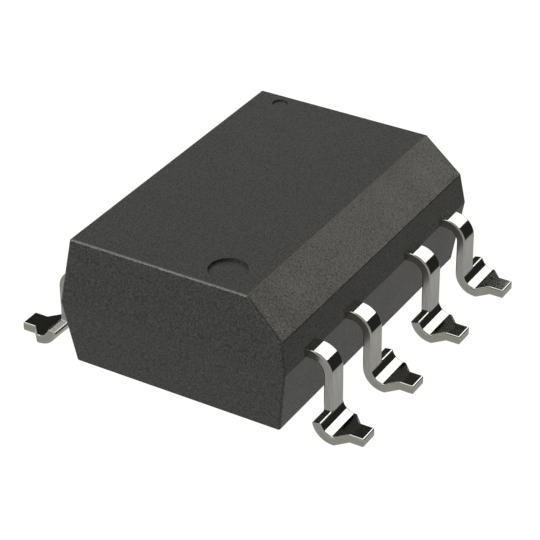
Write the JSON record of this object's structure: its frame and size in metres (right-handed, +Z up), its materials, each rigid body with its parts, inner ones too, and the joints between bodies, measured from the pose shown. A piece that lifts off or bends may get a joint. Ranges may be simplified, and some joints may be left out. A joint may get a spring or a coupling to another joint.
{
  "type": "soic chip",
  "caption": "Gull-wing surface-mount integrated circuit: black moulded body with a bevelled long side, a round index recess and tinned formed leads in two rows.",
  "frame": {"origin": "on the seating plane under the middle of the package", "axes": "+X across the rows of leads towards the bevelled side with lead 1, +Y along the rows away from lead 1, +Z up"},
  "size_m": [0.01, 0.0096, 0.0037],
  "materials": {
    "mould_compound": "fine moulded grain",
    "tinned_copper": "polished tin plate",
    "silver_epoxy": "cured paste",
    "silicon": "polished",
    "gold_wire": "drawn"
  },
  "bodies": {
    "root": {"mould_body": "mould_compound", "lead_1": "tinned_copper", "lead_2": "tinned_copper", "lead_3": "tinned_copper", "lead_4": "tinned_copper", "lead_5": "tinned_copper", "lead_6": "tinned_copper", "lead_7": "tinned_copper", "lead_8": "tinned_copper", "die_attach": "silver_epoxy", "silicon_die": "silicon", "bond_wire_1": "gold_wire", "bond_wire_2": "gold_wire", "bond_wire_3": "gold_wire", "bond_wire_4": "gold_wire", "bond_wire_5": "gold_wire", "bond_wire_6": "gold_wire", "bond_wire_7": "gold_wire", "bond_wire_8": "gold_wire"}
  },
  "joints": []
}
